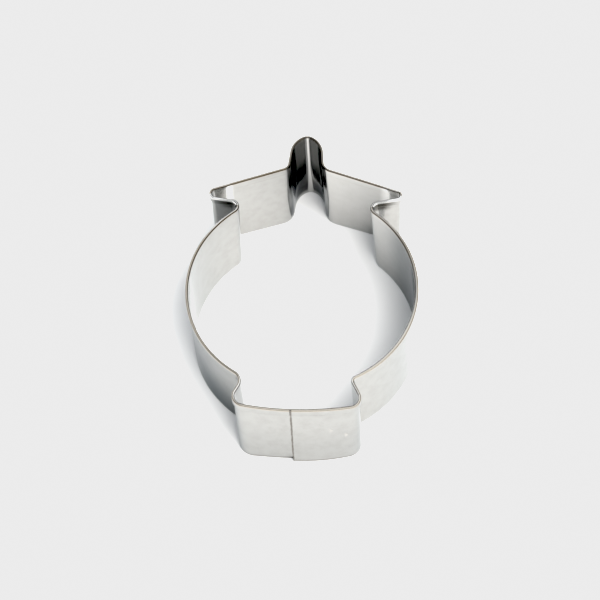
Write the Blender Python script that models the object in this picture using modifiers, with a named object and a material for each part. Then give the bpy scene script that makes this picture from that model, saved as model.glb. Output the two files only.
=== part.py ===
"""Cookie cutter: a strip of thin bright steel on edge, bent to the outline of a round body with a square
foot, sloping shoulders and a rounded spike. Its top edge is folded outwards into a hem, and its two ends
lap across the front of the foot, where spot welds hold them.

Metres, +Z up. The cutting edge lies on Z = 0, the foot is towards -Y and the spike towards +Y, and the
origin is below the middle of the whole cutter. The outline's sizes are to the middle of the sheet and
are laid out from the middle of the round body, which the parent empty marks.
"""

import math

import bmesh
import bpy
from mathutils import Matrix, Vector

MM = 0.001

# Strip and the hem along its top
STRIP_HEIGHT = 25.0 * MM
SHEET = 0.3 * MM
HEM_DEPTH = 2.2 * MM
HEM_GAP = 0.12 * MM

# Round body
BODY_RADIUS = 28.7 * MM

# Foot: how far it stands out of the body, its width across the front before the corners are rounded,
# the spread of its sides and the bow of its front panel
FOOT_LENGTH = 5.9 * MM
FOOT_HALF_WIDTH = 17.5 * MM
FOOT_FLARE = math.radians(25.0)
FRONT_BOW_RADIUS = 75.0 * MM
FOOT_CORNER_RADIUS = 2.5 * MM
FOOT_NOTCH_RADIUS = 2.2 * MM

# Shoulders: the underside rises to an outer end a little below the top of the body's circle, where a
# rounded tip turns it into the slope
SHOULDER_HALF_WIDTH = 24.2 * MM
SHOULDER_DROP = 1.7 * MM
SHOULDER_RISE = math.radians(10.0)
SHOULDER_SLOPE = math.radians(19.0)
SHOULDER_TIP_RADIUS = 1.25 * MM
SHOULDER_NOTCH_RADIUS = 2.3 * MM

# Spike: its length beyond the point where the two slopes would meet, and its half width at the cheeks,
# the wide curves between its sides and its blunt point
SPIKE_LENGTH = 7.95 * MM
SPIKE_HALF_WIDTH = 3.85 * MM
SPIKE_POINT_RADIUS = 2.25 * MM
SPIKE_CHEEK_RADIUS = 5.4 * MM
SPIKE_DRAFT = math.radians(6.0)
SPIKE_ROOT_RADIUS = 3.3 * MM

# Lap: the strip's left end runs on as a plain tongue behind its right end
SEAM_X = -1.5 * MM
SEAM_CLEARANCE = 0.2 * MM
TONGUE_END_CLEARANCE = 0.3 * MM
LAP_GAP = 0.15 * MM

# Spot welds: distance back from the tongue's end, and rise from the middle of the strip's height
WELD_PLACES = {
    "spot_weld_upper": (5.75 * MM, 1.9 * MM),
    "spot_weld_lower": (2.05 * MM, -1.0 * MM),
}
WELD_RADIUS = 0.9 * MM
WELD_LAND = 0.2 * MM
WELD_DIMPLE = 0.08 * MM
WELD_CLEARANCE = 0.05 * MM

# Fineness of the bends, the hem's fold and the welds
LONGEST_CHORD = 2.0 * MM
WIDEST_TURN = math.radians(12.0)
HEM_STEPS = 5
WELD_SIDES = 24
DIMPLE_STEPS = 3
SAME_PLACE = 0.001 * MM

STEEL_COLOUR = (0.76, 0.75, 0.73, 1.0)
STEEL_ROUGHNESS = 0.22
WELD_COLOUR = (0.62, 0.61, 0.6, 1.0)
WELD_ROUGHNESS = 0.4

# Places that follow from the sizes above
DOWN, UP = -math.pi / 2, math.pi / 2
LAP_STEP = SHEET + LAP_GAP
INNER_FRONT_RADIUS = FRONT_BOW_RADIUS
OUTER_FRONT_RADIUS = FRONT_BOW_RADIUS + LAP_STEP
FOOT_REACH = BODY_RADIUS + FOOT_LENGTH
FRONT_MIDDLE = Vector((0.0, FRONT_BOW_RADIUS - FOOT_REACH))
BODY_MIDDLE = Vector((0.0, 0.0))
UNDERSIDE_END = Vector((SHOULDER_HALF_WIDTH, BODY_RADIUS - SHOULDER_DROP))
TIP_LIFT = SHOULDER_TIP_RADIUS * (1 - math.sin(SHOULDER_RISE)) / math.cos(SHOULDER_RISE)
TIP_MIDDLE = UNDERSIDE_END + Vector((-SHOULDER_TIP_RADIUS, TIP_LIFT))
SLOPE_LIFT = SHOULDER_TIP_RADIUS / math.cos(SHOULDER_SLOPE)
RIDGE_REACH = TIP_MIDDLE.y + SLOPE_LIFT + TIP_MIDDLE.x * math.tan(SHOULDER_SLOPE)
SPIKE_REACH = RIDGE_REACH + SPIKE_LENGTH
HEM_RADIUS = (SHEET + HEM_GAP) / 2
HEM_START = STRIP_HEIGHT - SHEET / 2 - HEM_RADIUS
CUTTER_MIDDLE = (SPIKE_REACH - FOOT_REACH - LAP_STEP) / 2


def clear_scene():
    for thing in list(bpy.data.objects):
        bpy.data.objects.remove(thing, do_unlink=True)


def new_collection(name):
    made = bpy.data.collections.new(name)
    bpy.context.scene.collection.children.link(made)
    return made


def new_steel(name, colour, roughness):
    """A bare metal material."""
    steel = bpy.data.materials.new(name)
    steel.use_nodes = True
    shader = steel.node_tree.nodes["Principled BSDF"]
    shader.inputs["Base Color"].default_value = colour
    shader.inputs["Metallic"].default_value = 1.0
    shader.inputs["Roughness"].default_value = roughness
    steel.diffuse_color = colour
    return steel


def add_thing(name, data, collection, frame, place=None):
    made = bpy.data.objects.new(name, data)
    collection.objects.link(made)
    made.parent = frame
    if place:
        made.matrix_local = place
    return made


def mesh_data(name, mesh):
    """Turns a finished bmesh into mesh data, shaded smooth."""
    data = bpy.data.meshes.new(name)
    mesh.to_mesh(data)
    mesh.free()
    data.shade_smooth()
    return data


def heading(angle):
    return Vector((math.cos(angle), math.sin(angle)))


def angle_of(direction):
    return math.atan2(direction.y, direction.x)


def mirrored(vector):
    return Vector((-vector.x, vector.y))


def line_meets_circle(point, direction, centre, radius, leaving):
    """Where a line crosses a circle: on its way in or, with leaving set, on its way out."""
    offset = point - centre
    along = offset.dot(direction)
    half_chord = math.sqrt(along * along - offset.length_squared + radius * radius)
    return point + direction * ((half_chord if leaving else -half_chord) - along)


def lines_meet(point_a, direction_a, point_b, direction_b):
    share = (point_b - point_a).cross(direction_b) / direction_a.cross(direction_b)
    return point_a + direction_a * share


def foot_bend_middles(front_radius):
    """The centres of the foot's corner, inside the outline, and of its notch, outside it."""
    side_out = heading(FOOT_FLARE)
    side_up = side_out.orthogonal()
    sharp_corner = Vector((FOOT_HALF_WIDTH, -FOOT_REACH))
    corner = line_meets_circle(
        sharp_corner - side_out * FOOT_CORNER_RADIUS,
        -side_up,
        FRONT_MIDDLE,
        front_radius - FOOT_CORNER_RADIUS,
        leaving=True,
    )
    notch = line_meets_circle(
        sharp_corner + side_out * FOOT_NOTCH_RADIUS,
        side_up,
        BODY_MIDDLE,
        BODY_RADIUS + FOOT_NOTCH_RADIUS,
        leaving=False,
    )
    return corner, notch


def shoulder_notch_middle():
    """The centre of the bend from the body into the shoulder's underside, outside the outline."""
    underside_out = heading(DOWN + SHOULDER_RISE)
    return line_meets_circle(
        UNDERSIDE_END + underside_out * SHOULDER_NOTCH_RADIUS,
        -underside_out.orthogonal(),
        BODY_MIDDLE,
        BODY_RADIUS + SHOULDER_NOTCH_RADIUS,
        leaving=False,
    )


def spike_bend_middles():
    """The centres of the spike's root, outside the outline, of its cheek and of its blunt point, and the
    angle at which the cheek turns into the point."""
    point = Vector((0.0, SPIKE_REACH - SPIKE_POINT_RADIUS))
    slope_out = heading(UP - SHOULDER_SLOPE)
    side_out = heading(SPIKE_DRAFT)
    between = SPIKE_CHEEK_RADIUS - SPIKE_POINT_RADIUS
    turn = math.acos((SPIKE_CHEEK_RADIUS * side_out.x - SPIKE_HALF_WIDTH) / between)
    cheek = point - heading(turn) * between
    root = lines_meet(
        TIP_MIDDLE + slope_out * (SHOULDER_TIP_RADIUS + SPIKE_ROOT_RADIUS),
        slope_out.orthogonal(),
        cheek + side_out * (SPIKE_CHEEK_RADIUS + SPIKE_ROOT_RADIUS),
        side_out.orthogonal(),
    )
    return root, cheek, point, turn


def front_bend_end(front_radius):
    """The angle at which the front panel turns into the foot's corner."""
    corner, _notch = foot_bend_middles(front_radius)
    return angle_of(corner - FRONT_MIDDLE)


def half_bends(front_radius, front_start):
    """The bends of the right-hand half from the front panel to the spike's point, each as its centre,
    radius, first angle and last angle. The strip runs straight from one bend to the next, and a bend
    whose angle falls has its centre outside the outline."""
    corner, foot_notch = foot_bend_middles(front_radius)
    shoulder_notch = shoulder_notch_middle()
    root, cheek, point, cheek_end = spike_bend_middles()
    front_end = front_bend_end(front_radius)
    body_start, body_end = angle_of(foot_notch), angle_of(shoulder_notch)
    slope = UP - SHOULDER_SLOPE
    return [
        (FRONT_MIDDLE, front_radius, front_start, front_end),
        (corner, FOOT_CORNER_RADIUS, front_end, FOOT_FLARE),
        (foot_notch, FOOT_NOTCH_RADIUS, FOOT_FLARE + math.pi, body_start + math.pi),
        (BODY_MIDDLE, BODY_RADIUS, body_start, body_end),
        (shoulder_notch, SHOULDER_NOTCH_RADIUS, body_end + math.pi, UP + SHOULDER_RISE),
        (TIP_MIDDLE, SHOULDER_TIP_RADIUS, DOWN + SHOULDER_RISE, slope),
        (root, SPIKE_ROOT_RADIUS, slope + math.pi, SPIKE_DRAFT + math.pi),
        (cheek, SPIKE_CHEEK_RADIUS, SPIKE_DRAFT, cheek_end),
        (point, SPIKE_POINT_RADIUS, cheek_end, UP),
    ]


def bend_stations(centre, radius, first, last):
    """Points along one bend, each with the direction that faces out of the outline."""
    turn = last - first
    steps = max(math.ceil(abs(turn) / WIDEST_TURN), math.ceil(abs(turn) * radius / LONGEST_CHORD))
    side = math.copysign(1.0, turn)
    for step in range(steps + 1):
        spoke = heading(first + turn * step / steps)
        yield centre + spoke * radius, spoke * side


def half_stations(front_radius, front_start):
    """Stations along a half's bends, with only one where a bend runs into the next."""
    stations = []
    for bend in half_bends(front_radius, front_start):
        for point, outward in bend_stations(*bend):
            if not stations or (point - stations[-1][0]).length > SAME_PLACE:
                stations.append((point, outward))
    return stations


def front_angle(x, radius):
    """The angle about the front panel's centre at which a panel of this radius passes x."""
    return math.asin(x / radius) + DOWN


def tongue_end_angle():
    return front_bend_end(OUTER_FRONT_RADIUS) - TONGUE_END_CLEARANCE / INNER_FRONT_RADIUS


def strip_stations():
    """Stations from the tongue's end, round the outline, to the right end at the seam, and the number
    of them on the tongue."""
    hem_end = front_angle(SEAM_X - SEAM_CLEARANCE, INNER_FRONT_RADIUS)
    tongue = [
        (point, -outward)
        for point, outward in bend_stations(
            FRONT_MIDDLE, INNER_FRONT_RADIUS, tongue_end_angle(), hem_end
        )
    ]
    left = [
        (mirrored(point), mirrored(outward))
        for point, outward in half_stations(INNER_FRONT_RADIUS, 2 * DOWN - hem_end)
    ]
    right = half_stations(OUTER_FRONT_RADIUS, front_angle(SEAM_X, OUTER_FRONT_RADIUS))
    return tongue[:-1] + left[:-1] + right[::-1], len(tongue) - 1


def hem_rows():
    """The fold over the top and the flap down the outside, as distance outwards and height."""
    for step in range(1, HEM_STEPS + 1):
        angle = math.pi * (1 - step / HEM_STEPS)
        yield HEM_RADIUS * (1 + math.cos(angle)), HEM_START + HEM_RADIUS * math.sin(angle)
    yield 2 * HEM_RADIUS, STRIP_HEIGHT - HEM_DEPTH


def extrude_row(mesh, edges, stations, outwards, height):
    """Extrudes a chain of edges, and sets the new chain at a distance from the outline and a height."""
    number = mesh.verts.layers.int["station"]
    made = bmesh.ops.extrude_edge_only(mesh, edges=edges)["geom"]
    verts = {item for item in made if isinstance(item, bmesh.types.BMVert)}
    for vert in verts:
        point, outward = stations[vert[number]]
        vert.co = (point + outward * outwards).to_3d() + Vector((0.0, 0.0, height))
    made_edges = [item for item in made if isinstance(item, bmesh.types.BMEdge)]
    return [edge for edge in made_edges if verts.issuperset(edge.verts)]


def form_strip():
    """The middle surface of the sheet: the upright wall all along, and the hem except on the tongue,
    where the blank is notched so that the ends lap flat."""
    stations, tongue_count = strip_stations()
    mesh = bmesh.new()
    number = mesh.verts.layers.int.new("station")
    verts = []
    for place, (point, _outward) in enumerate(stations):
        verts.append(mesh.verts.new(point.to_3d()))
        verts[-1][number] = place
    chain = [mesh.edges.new(pair) for pair in zip(verts, verts[1:])]
    chain = extrude_row(mesh, chain, stations, 0.0, HEM_START)
    chain = [edge for edge in chain if min(vert[number] for vert in edge.verts) >= tongue_count]
    for outwards, height in hem_rows():
        chain = extrude_row(mesh, chain, stations, outwards, height)
    return mesh_data("cutter_band", mesh)


def add_band(collection, frame):
    """The strip, given its thickness evenly about the middle surface."""
    band = add_thing("cutter_band", form_strip(), collection, frame)
    band.data.materials.append(new_steel("bright_steel", STEEL_COLOUR, STEEL_ROUGHNESS))
    wall = band.modifiers.new("sheet", "SOLIDIFY")
    wall.thickness = SHEET
    wall.offset = 0.0
    wall.use_even_offset = True
    return band


def weld_place(back, rise):
    """A frame in the middle of the lap, with +Z facing out of the front panel."""
    spoke = heading(tongue_end_angle() - back / INNER_FRONT_RADIUS)
    point = (FRONT_MIDDLE + spoke * (INNER_FRONT_RADIUS + LAP_STEP / 2)).to_3d()
    point.z = STRIP_HEIGHT / 2 + rise
    return Matrix.LocRotScale(point, spoke.to_3d().to_track_quat("Z", "Y"), None)


def weld_profile():
    """Half the section of a weld, from the axis out, down and back. Each face has a flat land round a
    shallow dish, where the electrodes pressed."""
    face = LAP_STEP / 2 + SHEET / 2
    dish = WELD_RADIUS - WELD_LAND
    upper = [
        (dish * step / DIMPLE_STEPS, face - WELD_DIMPLE * (1 - (step / DIMPLE_STEPS) ** 2))
        for step in range(DIMPLE_STEPS + 1)
    ]
    upper.append((WELD_RADIUS, face))
    return upper + [(radius, -height) for radius, height in reversed(upper)]


def form_weld():
    mesh = bmesh.new()
    verts = [mesh.verts.new((radius, 0.0, height)) for radius, height in weld_profile()]
    for pair in zip(verts, verts[1:]):
        mesh.edges.new(pair)
    return mesh_data("spot_weld", mesh)


def form_weld_hole():
    mesh = bmesh.new()
    radius = WELD_RADIUS + WELD_CLEARANCE
    through_both = 2 * (LAP_STEP + SHEET)
    bmesh.ops.create_cone(
        mesh, cap_ends=True, segments=WELD_SIDES, radius1=radius, radius2=radius, depth=through_both
    )
    return mesh_data("weld_hole", mesh)


def add_weld(name, place, collection, frame):
    """One weld, which fills a round seat through both layers of the lap."""
    weld = add_thing(name, form_weld(), collection, frame, place)
    weld.data.materials.append(new_steel(name + "_steel", WELD_COLOUR, WELD_ROUGHNESS))
    turn = weld.modifiers.new("turn", "SCREW")
    turn.steps = turn.render_steps = WELD_SIDES
    turn.use_merge_vertices = True
    turn.merge_threshold = SAME_PLACE


def cut_weld_hole(name, place, cutters, frame, band):
    hole = add_thing(name + "_hole", form_weld_hole(), cutters, frame, place)
    hole.hide_render = True
    hole.display_type = "WIRE"
    cut = band.modifiers.new(hole.name, "BOOLEAN")
    cut.operation = "DIFFERENCE"
    cut.solver = "EXACT"
    cut.object = hole


def main():
    clear_scene()
    parts = new_collection("cookie_cutter")
    cutters = new_collection("cutters")
    frame = add_thing("body_middle", None, parts, None, Matrix.Translation((0.0, -CUTTER_MIDDLE, 0.0)))
    band = add_band(parts, frame)
    for name, (back, rise) in WELD_PLACES.items():
        place = weld_place(back, rise)
        add_weld(name, place, parts, frame)
        cut_weld_hole(name, place, cutters, frame, band)
    shading = band.modifiers.new("shading", "WEIGHTED_NORMAL")
    shading.keep_sharp = True


main()
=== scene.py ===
"""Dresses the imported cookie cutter: one hemmed strip of bright steel, its two spot welds and a plain stage.

Everything is in metres. The strip's path follows the outline of the round body, foot, shoulders and spike,
and a node tree sweeps the strip's section along it.
"""

import math

import bpy
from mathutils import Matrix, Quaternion, Vector


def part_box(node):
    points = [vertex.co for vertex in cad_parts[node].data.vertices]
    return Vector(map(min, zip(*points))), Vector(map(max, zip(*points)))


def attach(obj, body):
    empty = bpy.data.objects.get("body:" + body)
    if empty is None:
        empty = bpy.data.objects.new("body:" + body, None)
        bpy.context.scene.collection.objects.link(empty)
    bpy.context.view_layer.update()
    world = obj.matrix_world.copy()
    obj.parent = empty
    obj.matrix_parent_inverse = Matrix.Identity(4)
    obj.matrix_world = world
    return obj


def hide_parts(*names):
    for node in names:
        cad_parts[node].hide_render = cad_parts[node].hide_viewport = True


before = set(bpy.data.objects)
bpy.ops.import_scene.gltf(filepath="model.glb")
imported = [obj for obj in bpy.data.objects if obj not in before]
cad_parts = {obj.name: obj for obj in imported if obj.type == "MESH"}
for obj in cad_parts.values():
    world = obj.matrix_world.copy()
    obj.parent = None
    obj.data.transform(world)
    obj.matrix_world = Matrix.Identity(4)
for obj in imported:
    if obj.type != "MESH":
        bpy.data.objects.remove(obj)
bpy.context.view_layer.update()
BAND_LOW, BAND_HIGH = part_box("cutter_band")

bl_info = {
    "name": "Cookie cutter",
    "version": (1, 0, 0),
    "blender": (4, 5, 0),
    "location": "View3D > Sidebar > Cutter",
    "description": "Forms the hemmed steel strip of a cookie cutter, its spot welds and a studio stage",
    "category": "Object",
}

MM = 0.001
MM_IN_A_METRE = 1000.0
DEGREE = math.pi / 180.0
DOWN, UP = -math.pi / 2, math.pi / 2
BODY_MIDDLE = Vector((0.0, 0.0))

# Fineness of the path: its longest chord, the one on the front panel and the tongue, and its widest turn
CHORD = 1.0 * MM
FINE_CHORD = 0.3 * MM
WIDEST_TURN = 6.0 * DEGREE
SAME_PLACE = 0.001 * MM

# How far past the seam the tongue has stepped behind the panel, and has lost its top
TONGUE_JOG = 4.0 * MM
TONGUE_FALL = 2.0 * MM

# The film's ends: the light that comes out black, and the one that comes out as the backdrop's pale grey
FILM_BLACK = (0.03, 0.0)
FILM_WHITE = (0.65, 0.835)


def maker(kind, **limits):
    """Makes properties of one kind from a name, a description and a default."""
    return lambda name, text, default: kind(name=name, description=text, default=default, **limits)


a_number = maker(bpy.props.FloatProperty)
a_length = maker(bpy.props.FloatProperty, unit="LENGTH", precision=5)
an_angle = maker(bpy.props.FloatProperty, unit="ROTATION", subtype="ANGLE")
a_share = maker(bpy.props.FloatProperty, subtype="FACTOR", min=0.0, max=1.0)
a_colour = maker(bpy.props.FloatVectorProperty, subtype="COLOR", min=0.0, max=1.0)
a_place = maker(bpy.props.FloatVectorProperty, subtype="XYZ", unit="LENGTH")


class OutlineSizes(bpy.types.PropertyGroup):
    """One edge of one half of the outline, from the middle of the round body to the middle of the sheet."""

    body_radius: a_length("Body radius", "Radius of the round body", 28.7 * MM)
    foot_reach: a_length("Foot reach", "From the body's middle to the front panel", 34.5 * MM)
    foot_half_width: a_length("Foot half width", "Half the foot's width at its sharp corners", 16.6 * MM)
    foot_flare: an_angle("Foot flare", "How far the foot's sides spread towards its front", 20.0 * DEGREE)
    front_bow: a_length("Front bow", "Radius of the front panel's slight bow", 75.0 * MM)
    foot_corner: a_length("Foot corner", "Radius of the foot's front corners", 2.6 * MM)
    foot_notch: a_length("Foot notch", "Radius where the foot meets the body", 1.6 * MM)
    shoulder_half_width: a_length("Shoulder half width", "Half the width over the shoulder tips", 24.2 * MM)
    shoulder_height: a_length("Shoulder height", "Height of the underside's sharp outer end", 27.0 * MM)
    shoulder_rise: an_angle("Shoulder rise", "Rise of the shoulder's underside to its tip", 10.0 * DEGREE)
    shoulder_slope: an_angle("Shoulder slope", "Slope of the shoulder's top side", 19.0 * DEGREE)
    shoulder_tip: a_length("Shoulder tip", "Radius of the shoulder's tip", 1.2 * MM)
    shoulder_notch: a_length("Shoulder notch", "Radius where the shoulder meets the body", 1.85 * MM)
    spike_reach: a_length("Spike reach", "From the body's middle to the spike's point", 45.4 * MM)
    spike_top: a_length("Spike top", "Radius of the spike's blunt point", 2.2 * MM)
    spike_shift: a_length("Spike shift", "How far the spike's point stands out to this side", 0.0)
    spike_cheek: a_length("Spike cheek", "Radius of the curve from the spike's side to its point", 5.4 * MM)
    spike_half_width: a_length("Spike half width", "Half the spike's width where its sides begin", 3.9 * MM)
    spike_draft: an_angle("Spike draft", "Taper of the spike's sides", 5.5 * DEGREE)
    spike_root: a_length("Spike root", "Radius at the foot of the spike", 3.2 * MM)
    hem_spread: a_share("Hem spread", "How far the hem stands open beside the body", 0.0)
    # The sizes from here on paint light and shade on the strip's colour: a dark line along the fold as its
    # painted dark reflection, painted highlights on the fold and inside, and painted shade under the
    # shoulder, inside the middle of the body and outside its lower half
    least_wear: a_share("Least wear", "Wear of the fold beside the foot", 0.1)
    front_wear: a_share("Front wear", "Wear of the fold over the front panel", 0.6)
    body_wear: a_share("Body wear", "Wear of the fold round the upper body", 1.0)
    wing_wear: a_share("Wing wear", "Wear of the fold over the shoulders and spike", 1.0)
    wear_from: a_length("Wear from", "Where the fold's wear begins to grow", -14.0 * MM)
    wear_to: a_length("Wear to", "Where the fold's wear is full", 10.0 * MM)
    bare_fold: a_share("Bare fold", "How bright the fold is left on the lower half of the body", 0.0)
    shine: a_share("Shine", "Shine on the outer half of the upper body's fold", 0.3)
    polish: a_share("Polish", "Polish inside the upper body and the shoulder", 0.0)
    shade: a_share("Shade", "Tarnish on the inside of the middle of the body", 0.0)
    tarnish: a_share("Tarnish", "Tarnish on the outside of the lower half of the body", 0.0)
    stain: a_share("Stain", "Strength of the stain under the shoulder", 0.9)
    stain_end: a_length("Stain end", "Where the stain under the shoulder ends", 24.4 * MM)


class StripSizes(bpy.types.PropertyGroup):
    """The strip, its hem, its lap and what handling has done to it."""

    height: a_length("Height", "Height of the finished strip", BAND_HIGH.z - BAND_LOW.z)
    sheet: a_length("Sheet", "Thickness of the steel sheet", 0.3 * MM)
    hem_depth: a_length("Hem depth", "Depth of the hem's flap", 2.2 * MM)
    hem_gap: a_length("Hem gap", "Gap between the flap and the wall", 0.12 * MM)
    edge_round: a_length("Edge rounding", "Width of the rounding along the cut edges", 0.05 * MM)
    seam_x: a_length("Seam", "Where the right end stops, left of the middle", -1.5 * MM)
    seam_clearance: a_length("Seam clearance", "Gap between the two ends of the hem", 0.2 * MM)
    tongue_clearance: a_length("Tongue clearance", "From the tongue's end to the corner", 0.3 * MM)
    lap_gap: a_length("Lap gap", "Gap between the two layers of the lap", 0.15 * MM)
    weld_radius: a_length("Weld radius", "Radius of a spot weld's face", 0.9 * MM)
    press_depth: a_length("Press depth", "How deep a weld presses each sheet", 0.015 * MM)
    wave_height: a_length("Wave height", "Height of the strip's slight waves", 0.05 * MM)
    wave_length: a_length("Wave length", "Distance between the strip's waves", 14.0 * MM)
    tongue_drop: a_length("Tongue drop", "How far the tongue's top is cut below the hem", 1.2 * MM)
    middle: a_length("Middle", "How far the body's middle lies towards the foot", 5.087 * MM)


class SteelFinish(bpy.types.PropertyGroup):
    """The look of the steel and of the welds."""

    colour: a_colour("Colour", "Colour of the bright steel", (0.415, 0.412, 0.4))
    dull_colour: a_colour("Dull colour", "Colour where the strip has dulled", (0.385, 0.38, 0.367))
    fold_colour: a_colour("Fold colour", "Colour of the fold, yellowed by use", (0.43, 0.385, 0.325))
    # These colours paint light and shade: a dark line for the fold's painted dark reflection, the hem's
    # painted shade and the darker bottom edge; painted shade under the shoulders, inside the spike, on the
    # body and along the seam; and painted highlights
    rim_colour: a_colour("Rim colour", "Colour of the worn fold along the rim", (0.11, 0.085, 0.06))
    stain_colour: a_colour("Stain colour", "Colour of the stain under the shoulders", (0.065, 0.06, 0.05))
    smudge_colour: a_colour("Smudge colour", "Colour of the smudges inside the spike", (0.1, 0.1, 0.1))
    burnished_colour: a_colour("Burnished colour", "Colour of polished bends and folds", (0.78, 0.77, 0.75))
    tarnish_colour: a_colour("Tarnish colour", "Colour of the tarnish on the body", (0.08, 0.092, 0.098))
    soot_colour: a_colour("Soot colour", "Colour of the sooted seam", (0.1, 0.085, 0.07))
    weld_colour: a_colour("Weld colour", "Colour of the spot welds", (0.41, 0.4, 0.385))
    edge_colour: a_colour("Edge colour", "Share of a glancing reflection that is left", (0.72, 0.74, 0.755))
    roughness: a_share("Roughness", "Roughness of the bright steel", 0.09)
    dull_roughness: a_share("Dull roughness", "Roughness where the strip has dulled", 0.14)


class StageSettings(bpy.types.PropertyGroup):
    """The floor, the lights and the camera."""

    floor_colour: a_colour("Floor colour", "Colour of the matt floor", (0.82, 0.82, 0.82))
    floor_size: a_length("Floor size", "Half the width of the floor", 4.0)
    lens: a_number("Lens", "Focal length in mm", 132.0)
    azimuth: an_angle("Azimuth", "Camera's turn to the right of the front", 5.157 * DEGREE)
    elevation: an_angle("Elevation", "Camera's height above the floor's plane", 59.355 * DEGREE)
    roll: an_angle("Roll", "Camera's turn about its own axis", 3.44 * DEGREE)
    distance: a_length("Distance", "From the camera to what it aims at", 561.67 * MM)
    aim: a_place("Aim", "What the camera aims at", (-1.0 * MM, -1.367 * MM, 12.5 * MM))
    key_strength: a_number("Key strength", "Strength of the key light", 4.6)
    key_width: an_angle("Key width", "How wide the key light looks from the cutter", 55.0 * DEGREE)
    key_colour: a_colour("Key colour", "Colour of the key light", (1.0, 0.97, 0.93))
    key_source: a_place("Key source", "A place that the key light comes from", (0.65, -0.42, 1.0))


def linked(name, data):
    """A new object in the scene."""
    made = bpy.data.objects.new(name, data)
    bpy.context.scene.collection.objects.link(made)
    return made


def heading(angle):
    return Vector((math.cos(angle), math.sin(angle)))


def angle_of(direction):
    return math.atan2(direction.y, direction.x)


def mirrored(vector):
    return Vector((-vector.x, vector.y))


def line_meets_circle(point, direction, centre, radius, leaving):
    """Where a line crosses a circle: on its way in or, with leaving set, on its way out."""
    offset = point - centre
    along = offset.dot(direction)
    half_chord = math.sqrt(along * along - offset.length_squared + radius * radius)
    return point + direction * ((half_chord if leaving else -half_chord) - along)


def lines_meet(point_a, direction_a, point_b, direction_b):
    share = (point_b - point_a).cross(direction_b) / direction_a.cross(direction_b)
    return point_a + direction_a * share


class Outline:
    """The bends of one edge of one half, drawn as the right-hand half."""

    def __init__(self, sizes, front_step):
        self.sizes = sizes
        self.front_radius = sizes.front_bow + front_step
        self.front_middle = Vector((0.0, sizes.front_bow - sizes.foot_reach))
        self.under_out = heading(DOWN + sizes.shoulder_rise)
        self.under_end = Vector((sizes.shoulder_half_width, sizes.shoulder_height))
        tip_x = sizes.shoulder_half_width - sizes.shoulder_tip
        lift = sizes.shoulder_tip * (1.0 - math.sin(sizes.shoulder_rise)) / math.cos(sizes.shoulder_rise)
        self.tip = Vector((tip_x, sizes.shoulder_height + lift))

    def front_point(self, radius, x):
        """Where a front panel of this radius passes x."""
        return self.front_middle - Vector((-x, math.sqrt(radius * radius - x * x)))

    def beside_body(self, point, direction, radius):
        """Where on a line the centre of a bend lies that touches the body from outside."""
        reach = self.sizes.body_radius + radius
        return line_meets_circle(point, direction, BODY_MIDDLE, reach, leaving=False)

    def foot_bends(self):
        """The centres of the foot's corner, inside the outline, and of its notch, outside it."""
        sizes = self.sizes
        side_out = heading(sizes.foot_flare)
        side_up = side_out.orthogonal()
        sharp = Vector((sizes.foot_half_width, -sizes.foot_reach))
        start = sharp - side_out * sizes.foot_corner
        inner_radius = self.front_radius - sizes.foot_corner
        corner = line_meets_circle(start, -side_up, self.front_middle, inner_radius, leaving=True)
        return corner, self.beside_body(sharp + side_out * sizes.foot_notch, side_up, sizes.foot_notch)

    def shoulder_notch(self):
        """The centre of the bend where the shoulder's underside meets the body, outside the outline."""
        radius = self.sizes.shoulder_notch
        start = self.under_end + self.under_out * radius
        return self.beside_body(start, -self.under_out.orthogonal(), radius)

    def spike_bends(self):
        """The centres of the spike's root, outside the outline, of its cheek and of its blunt point, and the
        angle at which the cheek turns into the point."""
        sizes = self.sizes
        top = Vector((sizes.spike_shift, sizes.spike_reach - sizes.spike_top))
        slope_out = heading(UP - sizes.shoulder_slope)
        side_out = heading(sizes.spike_draft)
        widening = sizes.spike_cheek * side_out.x - sizes.spike_half_width + sizes.spike_shift
        turn = math.acos(widening / (sizes.spike_cheek - sizes.spike_top))
        cheek = top - heading(turn) * (sizes.spike_cheek - sizes.spike_top)
        root = lines_meet(
            self.tip + slope_out * (sizes.shoulder_tip + sizes.spike_root),
            slope_out.orthogonal(),
            cheek + side_out * (sizes.spike_cheek + sizes.spike_root),
            side_out.orthogonal(),
        )
        return root, cheek, top, turn

    def bends(self, front_x):
        """The bends from the front panel to the spike's point as centre, radius, first and last angle."""
        sizes = self.sizes
        corner, foot_notch = self.foot_bends()
        shoulder_notch = self.shoulder_notch()
        root, cheek, top, cheek_end = self.spike_bends()
        front_start = math.asin(front_x / self.front_radius) + DOWN
        front_end = angle_of(corner - self.front_middle)
        body_start, body_end = angle_of(foot_notch), angle_of(shoulder_notch)
        slope = UP - sizes.shoulder_slope
        return [
            (self.front_middle, self.front_radius, front_start, front_end),
            (corner, sizes.foot_corner, front_end, sizes.foot_flare),
            (foot_notch, sizes.foot_notch, sizes.foot_flare + math.pi, body_start + math.pi),
            (BODY_MIDDLE, sizes.body_radius, body_start, body_end),
            (shoulder_notch, sizes.shoulder_notch, body_end + math.pi, UP + sizes.shoulder_rise),
            (self.tip, sizes.shoulder_tip, DOWN + sizes.shoulder_rise, slope),
            (root, sizes.spike_root, slope + math.pi, sizes.spike_draft + math.pi),
            (cheek, sizes.spike_cheek, sizes.spike_draft, cheek_end),
            (top, sizes.spike_top, cheek_end, UP),
        ]


def bend_steps(bend, chord):
    _centre, radius, first, last = bend
    return max(math.ceil(abs(last - first) / WIDEST_TURN), math.ceil(abs(last - first) * radius / chord))


def on_bend(bend, share):
    """The point a share of the way along a bend, and the direction that faces out of the outline there."""
    centre, radius, first, last = bend
    spoke = heading(first + (last - first) * share)
    return centre + spoke * radius, spoke * math.copysign(1.0, last - first)


def smooth_step(low, high, value):
    """Rises smoothly from 0 at low to 1 at high, or falls where high is the smaller."""
    share = min(max((value - low) / (high - low), 0.0), 1.0)
    return share * share * (3.0 - 2.0 * share)


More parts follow.
